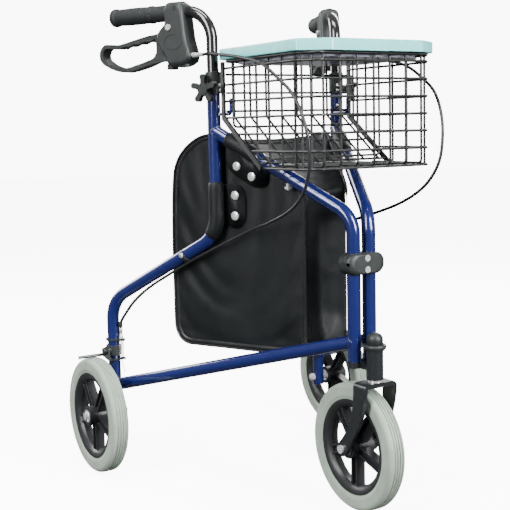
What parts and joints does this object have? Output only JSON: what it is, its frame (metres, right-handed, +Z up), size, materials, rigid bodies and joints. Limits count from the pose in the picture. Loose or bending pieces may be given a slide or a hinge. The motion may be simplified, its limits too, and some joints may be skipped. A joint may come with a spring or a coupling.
{
  "type": "three wheel rollator",
  "caption": "Folding three wheel walking aid with blue tube frame, height-adjustable handles, loop brake levers, swivelling front wheel, wire basket with tray and a bag",
  "frame": {"origin": "on the floor, centred between the sides and between front and back of the bounding box", "axes": "+Z up, -Y forward towards the front wheel, +X towards the user's left"},
  "size_m": [0.568, 0.614, 0.798],
  "materials": {
    "frame_paint": "glossy dark blue powder coat",
    "black_plastic": "fine grained black moulding",
    "wheel_black": "satin black moulding",
    "dark_steel": "satin black enamel",
    "handle_black": "satin black powder coat",
    "basket_wire": "glossy black dip coating",
    "grip_rubber": "moulded dark grey rubber",
    "tyre_grey": "light grey solid tyre",
    "cable_black": "smooth black cable sheath",
    "bag_vinyl": "black grained vinyl with piped edges",
    "bright_steel": "bright plated steel",
    "tray_aqua": "pale aqua semi-gloss moulding"
  },
  "bodies": {
    "front_block": {"upper_clamp_front": "black_plastic", "upper_clamp_rear": "black_plastic", "clamp_screws": "bright_steel", "caster_bracket": "dark_steel", "stem_cap": "black_plastic", "stem_bearings": "wheel_black", "bag": "bag_vinyl"},
    "caster_fork": {"fork": "dark_steel", "fork_stem": "bright_steel", "front_axle": "bright_steel"},
    "front_wheel": {"front_hub": "wheel_black", "front_tyre": "tyre_grey", "front_bearings": "bright_steel"},
    "basket": {"basket": "basket_wire"},
    "tray": {"tray": "tray_aqua"},
    "right_frame": {"right_main_tube": "frame_paint", "right_front_tube": "frame_paint", "right_lower_rail": "frame_paint", "right_collar": "black_plastic", "right_brake_bracket": "black_plastic", "right_brake_spring": "bright_steel", "right_brake_cable": "cable_black", "right_cable_fittings": "bright_steel", "right_basket_hook": "frame_paint", "right_fasteners": "bright_steel", "right_bag_straps": "bag_vinyl"},
    "right_wheel": {"right_hub": "wheel_black", "right_tyre": "tyre_grey", "right_bearings": "bright_steel"},
    "right_handle": {"right_handle_tube": "handle_black", "right_grip": "grip_rubber", "right_brake_housing": "black_plastic", "right_housing_fittings": "bright_steel"},
    "right_lever": {"right_brake_lever": "black_plastic"},
    "right_brake_arm": {"right_brake_arm": "dark_steel"},
    "right_knob": {"right_star_knob": "black_plastic"},
    "right_brace": {"right_brace_link": "bright_steel"},
    "left_frame": {"left_main_tube": "frame_paint", "left_front_tube": "frame_paint", "left_lower_rail": "frame_paint", "left_collar": "black_plastic", "left_brake_bracket": "black_plastic", "left_brake_spring": "bright_steel", "left_brake_cable": "cable_black", "left_cable_fittings": "bright_steel", "left_basket_hook": "frame_paint", "left_fasteners": "bright_steel", "left_bag_straps": "bag_vinyl"},
    "left_wheel": {"left_hub": "wheel_black", "left_tyre": "tyre_grey", "left_bearings": "bright_steel"},
    "left_handle": {"left_handle_tube": "handle_black", "left_grip": "grip_rubber", "left_brake_housing": "black_plastic", "left_housing_fittings": "bright_steel"},
    "left_lever": {"left_brake_lever": "black_plastic"},
    "left_brake_arm": {"left_brake_arm": "dark_steel"},
    "left_knob": {"left_star_knob": "black_plastic"},
    "left_brace": {"left_brace_link": "bright_steel"}
  },
  "joints": [
    {"name": "right_fold", "type": "hinge", "parent": "front_block", "child": "right_frame", "pos_m": [-0.0145, -0.2204, 0.4], "axis": [0, 0, -1], "range_deg": [0, 24], "deforming": ["bag", "right_brake_cable"]},
    {"name": "right_brace_turn", "type": "hinge", "parent": "right_frame", "child": "right_brace", "pos_m": [-0.06289, -0.11939, 0.53415], "axis": [0, 0, -1], "range_deg": [0, 56]},
    {"name": "right_wheel_spin", "type": "hinge", "parent": "right_frame", "child": "right_wheel", "pos_m": [-0.25498, 0.207, 0.1], "axis": [1, 0, 0], "continuous": true},
    {"name": "right_handle_slide", "type": "slide", "parent": "right_frame", "child": "right_handle", "axis": [0, 0, 1], "range_m": [0, 0.12], "deforming": ["right_brake_cable"]},
    {"name": "right_lever_pull", "type": "hinge", "parent": "right_handle", "child": "right_lever", "pos_m": [-0.15277, 0.06819, 0.757], "axis": [0.9018, 0.4321, 0], "range_deg": [0, 10]},
    {"name": "right_brake_swing", "type": "hinge", "parent": "right_frame", "child": "right_brake_arm", "pos_m": [-0.21928, 0.204, 0.21195], "axis": [-1, 0, 0], "range_deg": [0, 7], "deforming": ["right_brake_spring"]},
    {"name": "right_knob_turn", "type": "hinge", "parent": "right_frame", "child": "right_knob", "pos_m": [-0.12123, 0.00235, 0.656], "axis": [-0.9018, -0.4321, 0], "continuous": true},
    {"name": "left_fold", "type": "hinge", "parent": "front_block", "child": "left_frame", "pos_m": [0.0145, -0.2204, 0.4], "axis": [0, 0, 1], "range_deg": [0, 24], "deforming": ["bag", "left_brake_cable"]},
    {"name": "left_brace_turn", "type": "hinge", "parent": "left_frame", "child": "left_brace", "pos_m": [0.06289, -0.11939, 0.53415], "axis": [0, 0, 1], "range_deg": [0, 56]},
    {"name": "left_wheel_spin", "type": "hinge", "parent": "left_frame", "child": "left_wheel", "pos_m": [0.25498, 0.207, 0.1], "axis": [1, 0, 0], "continuous": true},
    {"name": "left_handle_slide", "type": "slide", "parent": "left_frame", "child": "left_handle", "axis": [0, 0, 1], "range_m": [0, 0.12], "deforming": ["left_brake_cable"]},
    {"name": "left_lever_pull", "type": "hinge", "parent": "left_handle", "child": "left_lever", "pos_m": [0.15277, 0.06819, 0.757], "axis": [0.9018, -0.4321, 0], "range_deg": [0, 10]},
    {"name": "left_brake_swing", "type": "hinge", "parent": "left_frame", "child": "left_brake_arm", "pos_m": [0.21928, 0.204, 0.21195], "axis": [-1, 0, 0], "range_deg": [0, 7], "deforming": ["left_brake_spring"]},
    {"name": "left_knob_turn", "type": "hinge", "parent": "left_frame", "child": "left_knob", "pos_m": [0.12123, 0.00235, 0.656], "axis": [0.9018, -0.4321, 0], "continuous": true},
    {"name": "fork_swivel", "type": "hinge", "parent": "front_block", "child": "caster_fork", "pos_m": [0, -0.2514, 0.21], "axis": [0, 0, 1], "continuous": true},
    {"name": "front_wheel_spin", "type": "hinge", "parent": "caster_fork", "child": "front_wheel", "pos_m": [0, -0.207, 0.1], "axis": [1, 0, 0], "continuous": true},
    {"name": "basket_lift", "type": "slide", "parent": "front_block", "child": "basket", "axis": [0, 0, 1], "range_m": [0, 0.4]},
    {"name": "tray_lift", "type": "slide", "parent": "basket", "child": "tray", "axis": [0, 0, 1], "range_m": [0, 0.06]}
  ],
  "couplings": [
    {"joint": "right_brake_swing", "follows": "right_lever_pull", "ratio": 0.65},
    {"joint": "right_brace_turn", "follows": "right_fold", "ratio": 2.3},
    {"joint": "left_brake_swing", "follows": "left_lever_pull", "ratio": 0.65},
    {"joint": "left_brace_turn", "follows": "right_fold", "ratio": 2.3},
    {"joint": "left_fold", "follows": "right_fold", "ratio": 1},
    {"joint": "basket_lift", "follows": "right_fold", "m_per_rad": 0.95}
  ]
}
